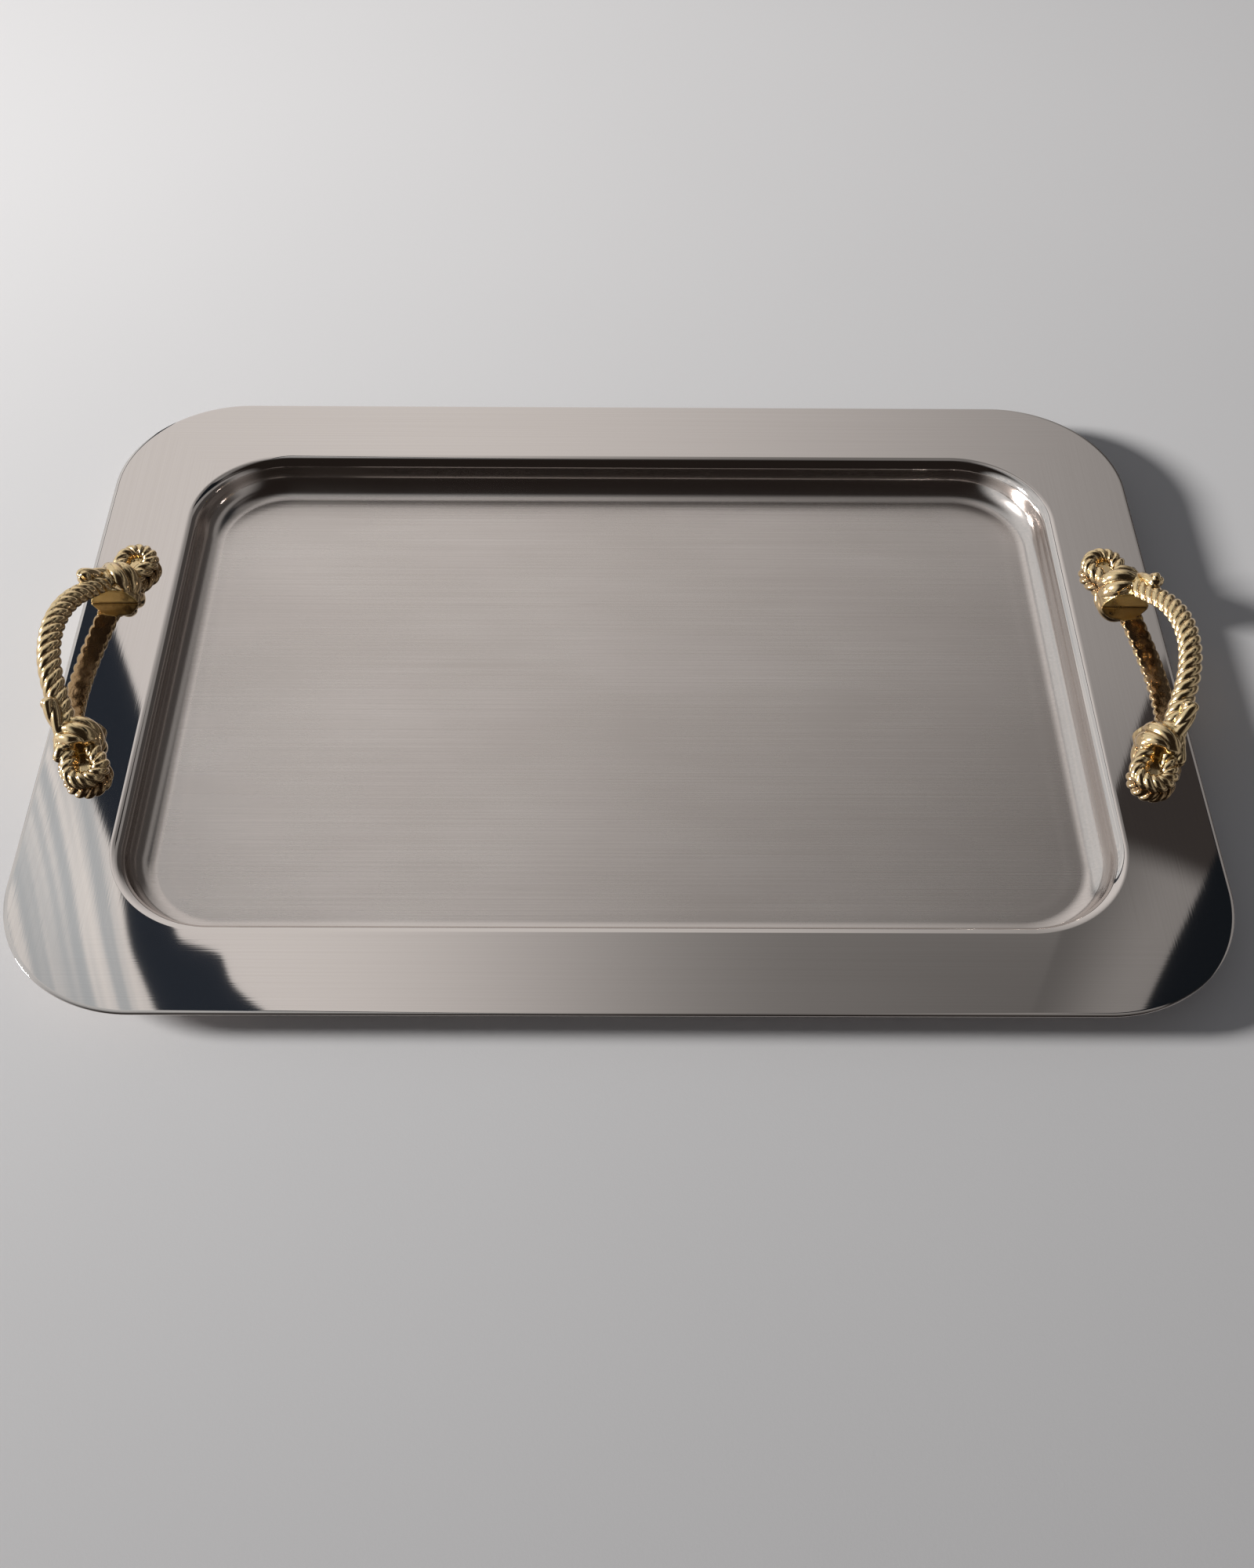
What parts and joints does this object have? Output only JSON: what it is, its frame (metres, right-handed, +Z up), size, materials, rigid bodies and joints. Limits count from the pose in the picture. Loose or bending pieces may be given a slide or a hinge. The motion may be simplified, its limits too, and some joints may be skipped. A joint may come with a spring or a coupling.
{
  "type": "serving tray",
  "caption": "Rectangular pressed steel serving tray with a wide flat rim, a shallow rounded well and cast brass rope handles on the short sides.",
  "frame": {"origin": "on the table, under the middle of the tray, level with the underside of the well", "axes": "+X along the long side towards the right handle, +Y along the short side towards the far rim, +Z up"},
  "size_m": [0.5632, 0.4, 0.0491],
  "materials": {
    "pan_steel": "mirror-polished rim with fine brushing, satin floor brushed along the long side",
    "handle_brass": "polished cast brass with dark brown patina in the grooves",
    "fastener_steel": "plain plated steel"
  },
  "bodies": {
    "root": {"tray_pan": "pan_steel", "left_handle": "handle_brass", "right_handle": "handle_brass", "screw_left_near": "fastener_steel", "washer_left_near": "fastener_steel", "screw_left_far": "fastener_steel", "washer_left_far": "fastener_steel", "screw_right_near": "fastener_steel", "washer_right_near": "fastener_steel", "screw_right_far": "fastener_steel", "washer_right_far": "fastener_steel"}
  },
  "joints": []
}
